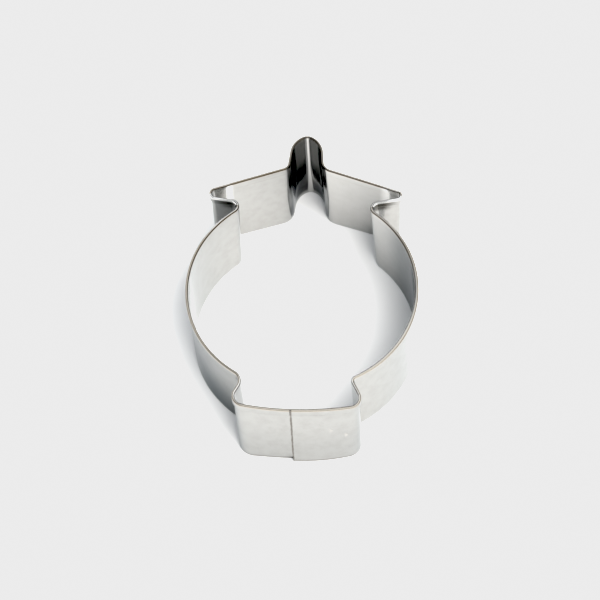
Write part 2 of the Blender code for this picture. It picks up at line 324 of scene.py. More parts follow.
# Zones of one half of the outline, each a product of smooth rises from 0 to 1. A rise names its measure, the
# value that it starts from and the value where it is full. "up" and "beside" are millimetres from the body's
# middle, and "faces_up" and "faces_side" are the two parts of the outward direction.
ZONES = {
    "worn_front": [("up", -30.0, -33.0)],
    "tarnished_front": [("up", -29.0, -32.0)],
    "foot_side": [("up", -24.5, -26.5), ("faces_side", 0.4, 0.75)],
    "beside_body": [("up", -26.0, -20.0), ("up", 22.0, 16.0)],
    "tarnished_body": [("up", -31.0, -15.0), ("up", 2.0, -9.0)],
    "lower_fold": [("up", -29.0, -26.0), ("up", 14.0, 0.0)],
    "middle_body": [("up", -14.0, -6.0), ("up", 21.0, 14.0)],
    "upper_body": [("up", 12.0, 18.0), ("up", 25.5, 24.0), ("faces_up", 0.0, 0.4)],
    "inside_top": [("up", 13.0, 20.0), ("beside", 3.5, 5.5)],
    "underside": [("faces_up", 0.5, -0.1)],
    "bare_underside": [("faces_up", 0.0, -0.3)],
    "above_body": [("up", 25.0, 28.0)],
    "inside_tip": [("beside", 21.5, 23.0), ("up", 24.0, 25.0), ("faces_side", 0.3, 0.6)],
    "stretched_tip": [("beside", 18.8, 20.3), ("up", 24.0, 25.0), ("faces_up", 0.72, 0.92)],
    "spike": [("up", 31.0, 33.0)],
    "spike_cheek": [("up", 35.5, 38.0)],
    "point": [("up", 43.5, 45.0), ("faces_up", 0.93, 0.985)],
}

# Where the shoulder's underside can begin, how much of the fold's painted dark reflection it is spared, and
# how far the painted shade under it fades
UNDERSIDE_FROM = 18.0 * MM
UNDERSIDE_SPARED = 0.9
SHOULDER_SHADE_FADE = 4.0 * MM

# How far the spike's sheet faces to the side where its painted shade begins and is full, and what a cheek
# adds
SPIKE_FACES = (0.5, 0.92)
CHEEK_TURN = 0.5

# Strengths of the lesser marks: the painted shade inside the wing tips, the painted highlights on the foot's
# side and on the point, and the painted shade on the front
TIP_SHADE = 0.22
FOOT_HIGHLIGHT = 0.7
POINT_HIGHLIGHT = 0.4
FRONT_SHADE = 0.22

# The painted shade, highlights and dark fold reflection at a station, and all the numbers that the strip's
# path carries
MARKS = ("wear", "stain", "smudge", "burnish", "bare", "shine", "shade", "tarnish")
STATION_NUMBERS = ("hemmed", "lowered", "press_side", "seam_distance", "hem_spread", *MARKS)


class Station:
    """One place along the strip: its rim, its cutting edge, which way is out and the painted shade and
    highlights there.
    """

    def __init__(self, rim, edge, outward, lowered=0.0, hemmed=True):
        self.rim = rim
        self.edge = edge
        self.outward = outward
        self.lowered = lowered
        self.hemmed = hemmed
        self.press_side = 0.0 if hemmed else 1.0
        self.seam_distance = 1.0
        self.hem_spread = 1.0
        for mark in MARKS:
            setattr(self, mark, 0.0)

    def mirrored(self):
        made = Station(mirrored(self.rim), mirrored(self.edge), mirrored(self.outward))
        for name in ("hem_spread", *MARKS):
            setattr(made, name, getattr(self, name))
        return made

    def share_of(self, zone):
        """How far the station lies in a zone, from 0 to 1."""
        measures = {
            "up": self.rim.y / MM,
            "beside": self.rim.x / MM,
            "faces_up": self.outward.y,
            "faces_side": self.outward.x,
        }
        return math.prod(smooth_step(low, high, measures[name]) for name, low, high in ZONES[zone])

    def age(self, sizes):
        """Opens the hem and sets the painted shade, highlights and dark fold reflection on this half of the
        outline.
        """
        share = self.share_of
        self.hem_spread = 1.0 + sizes.hem_spread * share("beside_body")
        # A painted dark reflection along the fold: growing up the body, set for the front and the wings, and
        # weaker under the shoulders
        body_wear = smooth_step(sizes.wear_from, sizes.wear_to, self.rim.y) * sizes.body_wear
        front_wear = share("worn_front") * sizes.front_wear
        above_body = share("above_body")
        self.wear = max(body_wear, front_wear, sizes.least_wear) * (1.0 - above_body)
        self.wear += sizes.wing_wear * above_body
        if self.rim.y > UNDERSIDE_FROM:
            underside = share("underside")
            self.wear *= 1.0 - UNDERSIDE_SPARED * underside
            # A painted highlight on the fold under the shoulder
            self.bare = share("bare_underside")
            # Painted shade under the shoulder, fading out towards its tip
            reach = smooth_step(sizes.stain_end, sizes.stain_end - SHOULDER_SHADE_FADE, self.rim.x)
            self.stain = sizes.stain * underside * reach
        else:
            # A painted highlight on the fold of the lower body
            self.bare = sizes.bare_fold * share("lower_fold")
        # Painted shade inside the spike and inside the wing tips
        turned = self.outward.x + CHEEK_TURN * share("spike_cheek")
        spike = share("spike") * smooth_step(*SPIKE_FACES, turned)
        self.smudge = max(spike, share("inside_tip") * TIP_SHADE)
        # Painted highlights inside: at the tips, on the foot's side, on the point and at the top of the body
        self.burnish = max(
            share("stretched_tip"),
            share("foot_side") * FOOT_HIGHLIGHT,
            share("point") * POINT_HIGHLIGHT,
            share("inside_top") * sizes.polish,
        )
        self.shine = sizes.shine * share("upper_body")
        self.shade = sizes.shade * share("middle_body")
        # Painted shade outside the lower half of the body and on the front
        body_lower_shade = share("tarnished_body") * sizes.tarnish
        self.tarnish = max(body_lower_shade, share("tarnished_front") * FRONT_SHADE)


def half_stations(rim, edge, front_x):
    """Stations along a half, with only one where a bend runs into the next."""
    stations = []
    for number, (rim_bend, edge_bend) in enumerate(zip(rim.bends(front_x), edge.bends(front_x))):
        chord = FINE_CHORD if number == 0 else CHORD
        steps = max(bend_steps(rim_bend, chord), bend_steps(edge_bend, chord))
        for step in range(steps + 1):
            rim_point, outward = on_bend(rim_bend, step / steps)
            edge_point, _edge_outward = on_bend(edge_bend, step / steps)
            if stations:
                before = stations[-1]
                gap = (rim_point - before.rim).length
                if gap <= SAME_PLACE:
                    continue
                straights = math.ceil(gap / CHORD - 0.5)
                for n in range(1, straights):
                    rim_between = before.rim.lerp(rim_point, n / straights)
                    edge_between = before.edge.lerp(edge_point, n / straights)
                    stations.append(Station(rim_between, edge_between, outward))
            stations.append(Station(rim_point, edge_point, outward))
    return stations


class StripPath:
    """The outlines of both halves, and the stations along the whole strip."""

    def __init__(self, scene):
        self.strip = scene.cutter_strip
        lap_step = self.strip.sheet + self.strip.lap_gap
        self.left = [Outline(scene.cutter_left_rim, 0.0), Outline(scene.cutter_left_edge, 0.0)]
        self.right = [Outline(scene.cutter_right_rim, lap_step), Outline(scene.cutter_right_edge, lap_step)]
        self.tongue_end = self.right[0].foot_bends()[0].x - self.strip.tongue_clearance
        self.middle = Vector((0.0, -self.strip.middle))

    def tongue_point(self, level, x):
        """A point of the tongue, which runs from the left panel to the back of the right panel."""
        left = self.left[level].front_point(self.left[level].sizes.front_bow, x)
        right = self.right[level].front_point(self.right[level].sizes.front_bow, x)
        return left.lerp(right, smooth_step(self.strip.seam_x, self.strip.seam_x + TONGUE_JOG, x))

    def tongue_stations(self, last_x):
        strip = self.strip
        count = math.ceil((self.tongue_end - last_x) / FINE_CHORD)
        for step in range(count):
            x = self.tongue_end + (last_x - self.tongue_end) * step / count
            lowered = smooth_step(strip.seam_x, strip.seam_x + TONGUE_FALL, x)
            rim, edge = self.tongue_point(0, x), self.tongue_point(1, x)
            outward = (rim - self.right[0].front_middle).normalized()
            yield Station(rim, edge, outward, lowered, hemmed=False)

    def stations(self):
        """Stations from the tongue's end, round the outline, to the right end at the seam."""
        strip = self.strip
        hem_end = strip.seam_x - strip.seam_clearance
        tongue = list(self.tongue_stations(hem_end))
        left = half_stations(*self.left, -hem_end)
        right = half_stations(*self.right, strip.seam_x)
        for half, outline in ((left, self.left[0]), (right, self.right[0])):
            for station in half:
                station.age(outline.sizes)
        left = [station.mirrored() for station in left]
        for station in right:
            if station.rim.y < self.right[0].foot_bends()[0].y:
                station.press_side = -1.0
        for station in tongue + left + right:
            if station.rim.y < 0.0:
                station.seam_distance = abs(station.rim.x - strip.seam_x)
        return tongue + left[:-1] + right[::-1]

    def lap_middle(self, x, z):
        """The middle of the lap at a place on the front panel, and the direction out of it."""
        shares = (z / self.strip.height, 1.0 - z / self.strip.height)
        outer = [outline.front_point(outline.front_radius, x) for outline in self.right]
        inner = [self.tongue_point(level, x) for level in (0, 1)]
        middle = sum(((a + b) * (share / 2) for a, b, share in zip(outer, inner, shares)), self.middle)
        up = (outer[0] - outer[1]).to_3d() + Vector((0.0, 0.0, self.strip.height))
        level = (outer[0] - self.right[0].front_middle).to_3d()
        outward = level - up * (level.dot(up) / up.length_squared)
        return Vector((middle.x, middle.y, z)), outward.normalized()


def store_vectors(mesh, name, vectors):
    numbers = [number for vector in vectors for number in vector.to_3d()]
    mesh.attributes.new(name, "FLOAT_VECTOR", "POINT").data.foreach_set("vector", numbers)


def path_mesh(path):
    """The strip's path on the floor as a chain of edges, with what the node tree needs at each point."""
    stations = path.stations()
    mesh = bpy.data.meshes.new("strip_path")
    points = [(station.rim + path.middle).to_3d() for station in stations]
    mesh.from_pydata(points, [(i, i + 1) for i in range(len(points) - 1)], [])
    store_vectors(mesh, "outward", [station.outward for station in stations])
    store_vectors(mesh, "to_edge", [station.edge - station.rim for station in stations])
    numbers = {name: [float(getattr(station, name)) for station in stations] for name in STATION_NUMBERS}
    numbers["along"] = [0.0]
    for before, after in zip(points, points[1:]):
        numbers["along"].append(numbers["along"][-1] + (after - before).length)
    for name, values in numbers.items():
        mesh.attributes.new(name, "FLOAT", "POINT").data.foreach_set("value", values)
    return mesh


def both_ways(operation):
    """An operation between a wire and a value or another wire, and its reflected form."""
    return (
        lambda self, other: self.math(operation, self, other),
        lambda self, other: self.math(operation, other, self),
    )


class Wire:
    """A node's output, so that sums of outputs are written as plain expressions that add Math nodes."""

    def __init__(self, graph, socket):
        self.graph = graph
        self.socket = socket

    def math(self, operation, *values):
        return self.graph.node("ShaderNodeMath", {"operation": operation}, dict(enumerate(values)))[0]

    __add__, __radd__ = both_ways("ADD")
    __sub__, __rsub__ = both_ways("SUBTRACT")
    __mul__, __rmul__ = both_ways("MULTIPLY")
    __truediv__, __rtruediv__ = both_ways("DIVIDE")

    def __neg__(self):
        return self.math("MULTIPLY", self, -1.0)

    def sign(self):
        return self.math("SIGN", self)

    def smooth(self, low, high):
        """0 below low, 1 above high and a smooth rise between."""
        ends = {"Value": self, "From Min": low, "From Max": high, "To Min": 0.0, "To Max": 1.0}
        return self.graph.node("ShaderNodeMapRange", {"interpolation_type": "SMOOTHSTEP"}, ends)["Result"]

    def fade(self, low, high):
        """1 below low, 0 above high and a smooth fall between."""
        return 1.0 - self.smooth(low, high)


class Made:
    """A node that was added, whose outputs are taken by name or number."""

    def __init__(self, graph, node):
        self.graph = graph
        self.outputs = node.outputs

    def __getitem__(self, key):
        return Wire(self.graph, self.outputs[key])


class Graph:
    """A node tree under construction."""

    def __init__(self, tree):
        self.tree = tree

    def node(self, kind, settings=None, sockets=None):
        """Adds a node, makes its settings first and then fills its sockets with values or links."""
        node = self.tree.nodes.new(kind)
        for name, value in (settings or {}).items():
            if name == "stops":
                self.set_stops(node.color_ramp, value)
            else:
                setattr(node, name, value)
        for key, value in (sockets or {}).items():
            for item in value if isinstance(value, list) else [value]:
                self.feed(node.inputs[key], item)
        return Made(self, node)

    def feed(self, socket, value):
        if isinstance(value, Wire):
            self.tree.links.new(value.socket, socket)
        else:
            socket.default_value = value

    def set_stops(self, ramp, stops):
        while len(ramp.elements) < len(stops):
            ramp.elements.new(1.0)
        for element, (position, colour) in zip(ramp.elements, stops):
            element.position = position
            element.color = colour

    def vector(self, operation, *values):
        return self.node("ShaderNodeVectorMath", {"operation": operation}, dict(enumerate(values)))

    def scaled(self, vector, factor):
        sockets = {"Vector": vector, "Scale": factor}
        return self.node("ShaderNodeVectorMath", {"operation": "SCALE"}, sockets)[0]

    def combined(self, x, y, z):
        return self.node("ShaderNodeCombineXYZ", {}, {"X": x, "Y": y, "Z": z})[0]

    def blend(self, factor, first, second):
        """Mixes two colours."""
        return self.node("ShaderNodeMix", {"data_type": "RGBA"}, {0: factor, 6: first, 7: second})[2]


class ShapeTree(Graph):
    """A Geometry Nodes group with named inputs."""

    def __init__(self, name):
        super().__init__(bpy.data.node_groups.new(name, "GeometryNodeTree"))
        self.tree.is_modifier = True
        self.face = self.tree.interface
        self.face.new_socket("Geometry", in_out="INPUT", socket_type="NodeSocketGeometry")
        self.face.new_socket("Geometry", in_out="OUTPUT", socket_type="NodeSocketGeometry")
        self.values = {}
        self.start = self.tree.nodes.new("NodeGroupInput")

    def given(self, name, value, kind="Float"):
        """Declares a named input, remembers its value and returns it as a wire."""
        item = self.face.new_socket(name, in_out="INPUT", socket_type="NodeSocket" + kind)
        self.values[item.identifier] = value
        return Wire(self, self.start.outputs[name])

    def sizes(self, group, *names):
        """Declares an input for each of these sizes of a group, under the size's own label."""
        labels = group.bl_rna.properties
        return [self.given(labels[name].name, getattr(group, name)) for name in names]

    def geometry(self):
        return Wire(self, self.start.outputs["Geometry"])

    def changed(self, kind, geometry, settings=None, **sockets):
        """Passes a geometry on through a node, whose sockets are named in small letters."""
        named = {name.replace("_", " ").title(): value for name, value in sockets.items()}
        return self.node("GeometryNode" + kind, settings, {"Geometry": geometry, **named})["Geometry"]

    def read(self, name, kind="FLOAT"):
        return self.node("GeometryNodeInputNamedAttribute", {"data_type": kind}, {"Name": name})["Attribute"]

    def stored(self, geometry, name, value, kind="FLOAT"):
        settings = {"data_type": kind, "domain": "POINT"}
        return self.changed("StoreNamedAttribute", geometry, settings, name=name, value=value)

    def position(self):
        return self.node("GeometryNodeInputPosition")["Position"]

    def finish(self, geometry, material):
        solid = self.changed("RealizeInstances", geometry)
        painted = self.changed("SetMaterial", solid, material=material)
        end = self.tree.nodes.new("NodeGroupOutput")
        self.tree.links.new(painted.socket, end.inputs["Geometry"])

    def shape(self, name, base):
        """Runs the tree on a base mesh and returns the result as a plain object."""
        maker = linked(name + "_maker", base)
        modifier = maker.modifiers.new("shape", "NODES")
        modifier.node_group = self.tree
        for identifier, value in self.values.items():
            modifier[identifier] = value
        depsgraph = bpy.context.evaluated_depsgraph_get()
        made_mesh = bpy.data.meshes.new_from_object(maker.evaluated_get(depsgraph))
        maker.modifiers.clear()
        bpy.data.objects.remove(maker)
        if not made_mesh.polygons:
            raise RuntimeError(name + " came out empty")
        made_mesh.name = name
        return linked(name, made_mesh)


def section_line(tree, start, end, count):
    """A straight run of the strip's section: across from the wall in X and up in Y."""
    ends = {"Start": start, "End": end}
    line = tree.node("GeometryNodeCurvePrimitiveLine", {"mode": "POINTS"}, ends)["Curve"]
    return tree.node("GeometryNodeResampleCurve", {"mode": "COUNT"}, {"Curve": line, "Count": count})["Curve"]


def swept(tree, path, sections):
    """Sweeps the joined sections along a path. Each point of the result knows its place on both."""
    section = tree.changed("JoinGeometry", sections)
    place = tree.node("ShaderNodeSeparateXYZ", {}, {"Vector": tree.position()})
    section = tree.stored(section, "across", place["X"])
    section = tree.stored(section, "rise", place["Y"])
    return tree.node("GeometryNodeCurveToMesh", {}, {"Curve": path, "Profile Curve": section})["Mesh"]


# In weld radii: how far the finely divided zone reaches past a weld's middle, where the pressing begins to
# fade and is gone, and how far out the weld calms the strip's waves
WELD_ZONE = 2.2
PRESS_FROM, PRESS_TO = 0.85, 1.6
CALM_REACH = 6.0


def band_tree(strip, welds, steel):
    """The strip's middle surface: an upright wall all along and, except on the tongue, the hem."""
    tree = ShapeTree("hemmed_strip")
    height, sheet, hem_depth, hem_gap = tree.sizes(strip, "height", "sheet", "hem_depth", "hem_gap")
    wave_height, wave_length, tongue_drop = tree.sizes(strip, "wave_height", "wave_length", "tongue_drop")
    weld_radius, press_depth = tree.sizes(strip, "weld_radius", "press_depth")
    wave_seed = tree.given("Wave Seed", 3.0)
    reach = WELD_ZONE * strip.weld_radius
    weld_zone_low = tree.given("Weld Zone Low", min(weld.z for weld in welds) - reach)
    weld_zone_high = tree.given("Weld Zone High", max(weld.z for weld in welds) + reach)
    places = [tree.given(f"Weld {n + 1}", weld, "Vector") for n, weld in enumerate(welds)]
    rows = {"Wall Rows": 9, "Weld Zone Rows": 28, "Fold Rows": 9, "Flap Rows": 5}
    wall_rows, weld_rows, fold_rows, flap_rows = (tree.given(*item, "Int") for item in rows.items())
    material = tree.given("Steel", steel, "Material")

    hem_radius = (sheet + hem_gap) * 0.5
    hem_start = height - sheet * 0.5 - hem_radius

    def spot(x, y):
        return tree.combined(x, y, 0.0)

    levels = (0.0, weld_zone_low, weld_zone_high, hem_start)
    runs = zip(levels, levels[1:], (wall_rows, weld_rows, wall_rows))
    wall = [section_line(tree, spot(0.0, low), spot(0.0, high), count) for low, high, count in runs]
    turn = {"Resolution": fold_rows, "Radius": hem_radius, "Start Angle": math.pi, "Sweep Angle": -math.pi}
    arc = tree.node("GeometryNodeCurveArc", {"mode": "RADIUS"}, turn)["Curve"]
    fold = tree.changed("Transform", arc, translation=spot(hem_radius, hem_start))
    flap_x = hem_radius * 2.0
    flap = section_line(tree, spot(flap_x, hem_start), spot(flap_x, height - hem_depth), flap_rows)

    path = tree.node("GeometryNodeMeshToCurve", {}, {"Mesh": tree.geometry()})["Curve"]
    path = tree.stored(path, "station", tree.position(), "FLOAT_VECTOR")
    below = {"data_type": "FLOAT", "operation": "LESS_THAN"}
    bare = tree.node("FunctionNodeCompare", below, {0: tree.read("hemmed"), 1: 0.5})["Result"]
    hem_path = tree.changed("DeleteGeometry", path, {"domain": "POINT"}, selection=bare)
    joined = tree.changed("JoinGeometry", [swept(tree, path, wall), swept(tree, hem_path, [fold, flap])])

    along, rise, across = tree.read("along"), tree.read("rise"), tree.read("across") * tree.read("hem_spread")
    outward, station = tree.read("outward", "FLOAT_VECTOR"), tree.read("station", "FLOAT_VECTOR")
    lean = tree.scaled(tree.read("to_edge", "FLOAT_VECTOR"), 1.0 - rise / height)
    place = tree.combined(along / wave_length, rise / wave_length, wave_seed)
    waves = tree.node("ShaderNodeTexNoise", {}, {"Vector": place, "Scale": 1.0, "Detail": 1.0})["Fac"]
    wave = (waves - 0.5) * wave_height * 2.0
    lowered = 1.0 - tree.read("lowered") * tongue_drop / height
    upright = tree.combined(0.0, 0.0, rise * lowered)
    wall_place = tree.vector("ADD", tree.vector("ADD", station, lean)[0], upright)[0]
    press = 0.0
    for place in places:
        away = tree.vector("DISTANCE", wall_place, place)["Value"]
        press = press + away.fade(weld_radius * PRESS_FROM, weld_radius * PRESS_TO)
        wave = wave * away.smooth(weld_radius, weld_radius * CALM_REACH)
    offset = across + wave + press * press_depth * tree.read("press_side")
    spot_now = tree.vector("ADD", wall_place, tree.scaled(outward, offset))[0]
    placed = tree.changed("SetPosition", joined, position=spot_now)
    placed = tree.stored(placed, "middle", tree.position(), "FLOAT_VECTOR")
    merged = tree.changed("MergeByDistance", placed, distance=SAME_PLACE)
    tree.finish(tree.changed("SetShadeSmooth", merged, shade_smooth=True), material)
    return tree


class SteelGraph(Graph):
    """A metal material's nodes."""

    def __init__(self, name):
        self.material = bpy.data.materials.new(name)
        self.material.use_nodes = True
        super().__init__(self.material.node_tree)
        self.shader = self.tree.nodes["Principled BSDF"]

    def attribute(self, name, output="Fac"):
        return self.node("ShaderNodeAttribute", {"attribute_name": name})[output]

    def surface(self, **sockets):
        """Feeds the shader's sockets, which are named in small letters, and returns the material."""
        for name, value in sockets.items():
            self.feed(self.shader.inputs[name.replace("_", " ").title()], value)
        return self.material

    def noise(self, vector, scale=1.0, detail=3.0, roughness=0.5):
        sockets = {"Vector": vector, "Scale": scale, "Detail": detail, "Roughness": roughness}
        return self.node("ShaderNodeTexNoise", {}, sockets)["Fac"]


def opaque(colour):
    return (*colour, 1.0)


# Where marks on the strip begin and are full: across from the wall, up it, beside the seam or beside the end
# of the flap, in metres
SIDE_BLEND = (-0.05 * MM, 0.05 * MM)
OUTER_HALF = (0.09 * MM, 0.24 * MM)
FLAP_SIDE = (0.3 * MM, 0.4 * MM)
DARK_BOTTOM_EDGE = (0.3 * MM, 1.0 * MM)
SHADED_SEAM = (0.1 * MM, 0.35 * MM)
SEAM_SHADE_RAGGED = 0.4 * MM
GAP_LINE = (0.05 * MM, 0.2 * MM)
HEM_LINE_FROM = (-0.4 * MM, -0.2 * MM)
HEM_LINE_TO = (0.0, 0.2 * MM)
SHOULDER_SHADE_BELOW = (1.0 * MM, 3.0 * MM)
SHADED_FLAP = (0.5 * MM, 0.9 * MM)
RECESS_SHADE_FOOT = 13.0 * MM
RECESS_SHADE_RISE = (0.3 * MM, 2.0 * MM)
RECESS_SHADE_THINS = (3.5 * MM, 9.0 * MM)

# The same as shares of the strip's height
SHADE_THINS = (0.15, 0.75)
BRIGHT_FOLD = (0.972, 0.982)
TINTED_FOLD = (0.975, 0.985)
DARK_FOLD_LINE = (0.984, 0.9885)

# How strongly each mark covers the steel
INNER_SHINE = 1.8
FOLD_TINT = 0.85
BOTTOM_EDGE_DARKENING = 0.5
SEAM_SHADING = 0.8
HEM_SHADE = 0.5
WALL_SHADE = 0.8
RECESS_SHADE_THINNING = 0.65


class StripGraph(SteelGraph):
    """The strip's material. Each mark, most of them painted shade and highlights, is the share of the steel's
    colour that its own one covers.
    """

    def __init__(self, strip):
        super().__init__("bright_steel")
        self.height = strip.height
        self.flap_end = strip.height - strip.hem_depth
        self.along, self.rise, self.across = map(self.attribute, ("along", "rise", "across"))
        self.level = self.rise / strip.height
        self.place = self.combined(self.along * MM_IN_A_METRE, self.rise * MM_IN_A_METRE, 0.0)
        self.flap = self.across.smooth(*FLAP_SIDE)
        self.inner = self.across.fade(*OUTER_HALF)
        place = self.node("ShaderNodeTexCoord")["Object"]
        off_middle = self.vector("SUBTRACT", place, self.attribute("middle", "Vector"))[0]
        outward = self.attribute("outward", "Vector")
        self.outside = self.vector("DOT_PRODUCT", off_middle, outward)["Value"].smooth(*SIDE_BLEND)
        self.inside = 1.0 - self.outside

    def streaks(self, along, up, seed, roughness=0.5):
        """Noise drawn out along the strip, with so many ripples to a metre along it and up it."""
        return self.noise(self.combined(self.along * along, self.rise * up, seed), roughness=roughness)

    def burnish(self):
        """Painted highlights: bends painted bright inside, and the fold painted bright on its inner and outer
        halves.
        """
        bare = self.attribute("bare")
        outer = (bare.smooth(0.6, 0.9) + self.attribute("shine")) * (1.0 - self.inner)
        bright_fold = (bare * self.inner * INNER_SHINE + outer) * self.level.smooth(*BRIGHT_FOLD)
        return self.attribute("burnish") * self.inside + bright_fold

    def tarnish(self):
        """Painted shade outside the lower body and the front, thinning towards the top, and an even painted
        shade inside.
        """
        tarnish = self.attribute("tarnish")
        thinned = 1.0 - self.level.smooth(*SHADE_THINS) * (0.5 + 0.5 * tarnish)
        return tarnish * thinned * self.outside + self.attribute("shade") * self.inside

    def soiled_edge(self):
        # Darker along the bottom edge of the lower body and the front
        return self.attribute("tarnish").smooth(0.0, 0.3) * self.rise.fade(*DARK_BOTTOM_EDGE) * BOTTOM_EDGE_DARKENING

    def soot(self):
        """A painted shade line with a ragged side along the seam, outside."""
        uneven = (self.noise(self.place, scale=0.9) - 0.5) * SEAM_SHADE_RAGGED
        ragged = self.attribute("seam_distance") + uneven
        return ragged.fade(*SHADED_SEAM) * SEAM_SHADING * self.outside

    def worn_fold(self):
        # A painted dark reflection: a dark line along the top of the fold, on its inner half
        uneven = 0.8 + 0.4 * self.noise(self.place, scale=0.25)
        return self.level.smooth(*DARK_FOLD_LINE) * self.inner * self.attribute("wear") * uneven

    def hem_lines(self):
        """Painted shade under the flap's end, and the faint painted shadow line that it leaves on the wall.
        """
        above_end = self.rise - self.flap_end
        gap_shade = self.flap * above_end.fade(*GAP_LINE)
        line = (1.0 - self.flap) * above_end.smooth(*HEM_LINE_FROM) * above_end.fade(*HEM_LINE_TO)
        faint = self.noise(self.place, scale=0.08, detail=2.0).smooth(0.35, 0.65)
        return gap_shade * HEM_SHADE + line * (0.1 + 0.25 * self.outside) * faint

    def stain(self):
        """The streaky painted shade under the shoulder, on the lower flap and on the wall below it."""
        stain = self.attribute("stain")
        streaks = self.streaks(along=60.0, up=4000.0, seed=5.0)
        flap = self.flap * (self.height - self.rise).smooth(*SHADED_FLAP)
        wall = (1.0 - self.flap) * (self.flap_end - self.rise).fade(*SHOULDER_SHADE_BELOW) * stain * stain * WALL_SHADE
        return stain * (flap + wall) * (0.7 + 0.5 * streaks) * self.outside

    def smudge(self):
        """Painted shade inside the spike and the tips, whose lower end rises where it is weak and which thins
        out upwards.
        """
        smudge = self.attribute("smudge") * self.inside
        foot = (1.0 - smudge) * RECESS_SHADE_FOOT
        thinned = 1.0 - RECESS_SHADE_THINNING * smudge * smudge * self.rise.smooth(*RECESS_SHADE_THINS)
        patchy = 0.75 + 0.5 * self.noise(self.place, scale=0.5, detail=4.0, roughness=0.6)
        return smudge.smooth(0.05, 0.45) * (self.rise - foot).smooth(*RECESS_SHADE_RISE) * thinned * patchy


def strip_steel(finish, strip):
    """Bright cold-rolled steel: faint rolling lines along the strip, cloudy dulling and a yellowed fold, with
    painted shade, painted highlights and a painted dark reflection along the fold.
    """
    graph = StripGraph(strip)
    clouds = graph.noise(graph.place, scale=0.35, detail=4.0, roughness=0.6).smooth(0.35, 0.7)
    lines = graph.streaks(along=40.0, up=9000.0, seed=0.0, roughness=0.7)
    covers = (
        (clouds, finish.dull_colour),
        (graph.level.smooth(*TINTED_FOLD) * FOLD_TINT, finish.fold_colour),
        (graph.burnish(), finish.burnished_colour),
        (graph.tarnish(), finish.tarnish_colour),
        (graph.soiled_edge(), finish.rim_colour),
        (graph.soot(), finish.soot_colour),
        (graph.worn_fold(), finish.rim_colour),
        (graph.hem_lines(), finish.rim_colour),
        (graph.stain(), finish.stain_colour),
        (graph.smudge(), finish.smudge_colour),
    )
    colour = opaque(finish.colour)
    for cover, mark_colour in covers:
        colour = graph.blend(cover, colour, opaque(mark_colour))
    rough = finish.roughness + clouds * (finish.dull_roughness - finish.roughness) + (lines - 0.5) * 0.05
    relief = {"Strength": 0.04, "Distance": 0.05 * MM, "Height": lines}
    return graph.surface(
        base_color=colour,
        roughness=rough,
        normal=graph.node("ShaderNodeBump", {}, relief)["Normal"],
        metallic=1.0,
        specular_tint=opaque(finish.edge_colour),
    )


def weld_steel(finish):
    graph = SteelGraph("weld_steel")
    place = graph.node("ShaderNodeTexCoord")["Object"]
    grain = graph.noise(place, scale=3000.0)
    return graph.surface(base_color=opaque(finish.weld_colour), roughness=0.2 + grain * 0.1, metallic=1.0)


WELDS = ("spot_weld_upper", "spot_weld_lower")


def weld_places(path):
    """The middle of each weld in the lap and the direction out of it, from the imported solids' boxes."""
    for name in WELDS:
        low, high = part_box(name)
        yield path.lap_middle((low.x + high.x) / 2, (low.z + high.z) / 2)


def finished(piece, slot, *nodes):
    """Gives a finished piece its body and hides the nodes that it stands for. The slot is not used."""
    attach(piece, "root")
    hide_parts(*nodes)


class CUTTER_OT_band(bpy.types.Operator):
    """Forms the hemmed strip"""

    bl_idname = "cutter.band"
    bl_label = "Strip"

    def execute(self, context):
        scene = context.scene
        strip = scene.cutter_strip
        path = StripPath(scene)
        steel = strip_steel(scene.cutter_finish, strip)
        tree = band_tree(strip, [place for place, _outward in weld_places(path)], steel)
        band = tree.shape("hemmed_strip", path_mesh(path))
        wall = band.modifiers.new("sheet", "SOLIDIFY")
        wall.thickness = strip.sheet
        wall.offset = 0.0
        wall.use_even_offset = True
        edges = band.modifiers.new("cut_edges", "BEVEL")
        edges.width = strip.edge_round
        edges.segments = 2
        edges.limit_method = "ANGLE"
        edges.angle_limit = math.radians(45.0)
        finished(band, "band_steel", "cutter_band")
        return {"FINISHED"}


def weld_tree(strip, steel):
    """A round weld with a dished face on each side, set at each point of the base mesh and turned to face
    out of the panel."""
    tree = ShapeTree("spot_welds")
    radius, press_depth = tree.sizes(strip, "weld_radius", "press_depth")
    lap = tree.given("Lap Thickness", 2.0 * strip.sheet + strip.lap_gap)
    lip = tree.given("Lip Height", 0.004 * MM)
    dish = tree.given("Dish Depth", 0.005 * MM)
    material = tree.given("Steel", steel, "Material")
    half = lap * 0.5 - press_depth + lip
    sizes = {"Vertices": 48, "Side Segments": 1, "Fill Segments": 8, "Radius": radius, "Depth": half * 2.0}
    plug = tree.node("GeometryNodeMeshCylinder", {"fill_type": "TRIANGLE_FAN"}, sizes)["Mesh"]
    place = tree.node("ShaderNodeSeparateXYZ", {}, {"Vector": tree.position()})
    flat = tree.combined(place["X"], place["Y"], 0.0)
    from_axis = tree.vector("LENGTH", flat)["Value"] / radius
    depth = dish * (1.0 - from_axis * from_axis) * place["Z"].sign()
    plug = tree.changed("SetPosition", plug, offset=tree.combined(0.0, 0.0, -depth))
    outward = tree.read("outward", "FLOAT_VECTOR")
    facing = tree.node("FunctionNodeAlignRotationToVector", {"axis": "Z"}, {"Vector": outward})["Rotation"]
    cloud = tree.node("GeometryNodeMeshToPoints", {}, {"Mesh": tree.geometry()})["Points"]
    placing = {"Points": cloud, "Instance": plug, "Rotation": facing}
    welds = tree.node("GeometryNodeInstanceOnPoints", {}, placing)["Instances"]
    tree.finish(tree.changed("SetShadeSmooth", welds, shade_smooth=False), material)
    return tree


def weld_points(path):
    places, outwards = zip(*weld_places(path))
    mesh = bpy.data.meshes.new("weld_places")
    mesh.from_pydata(places, [], [])
    store_vectors(mesh, "outward", outwards)
    return mesh


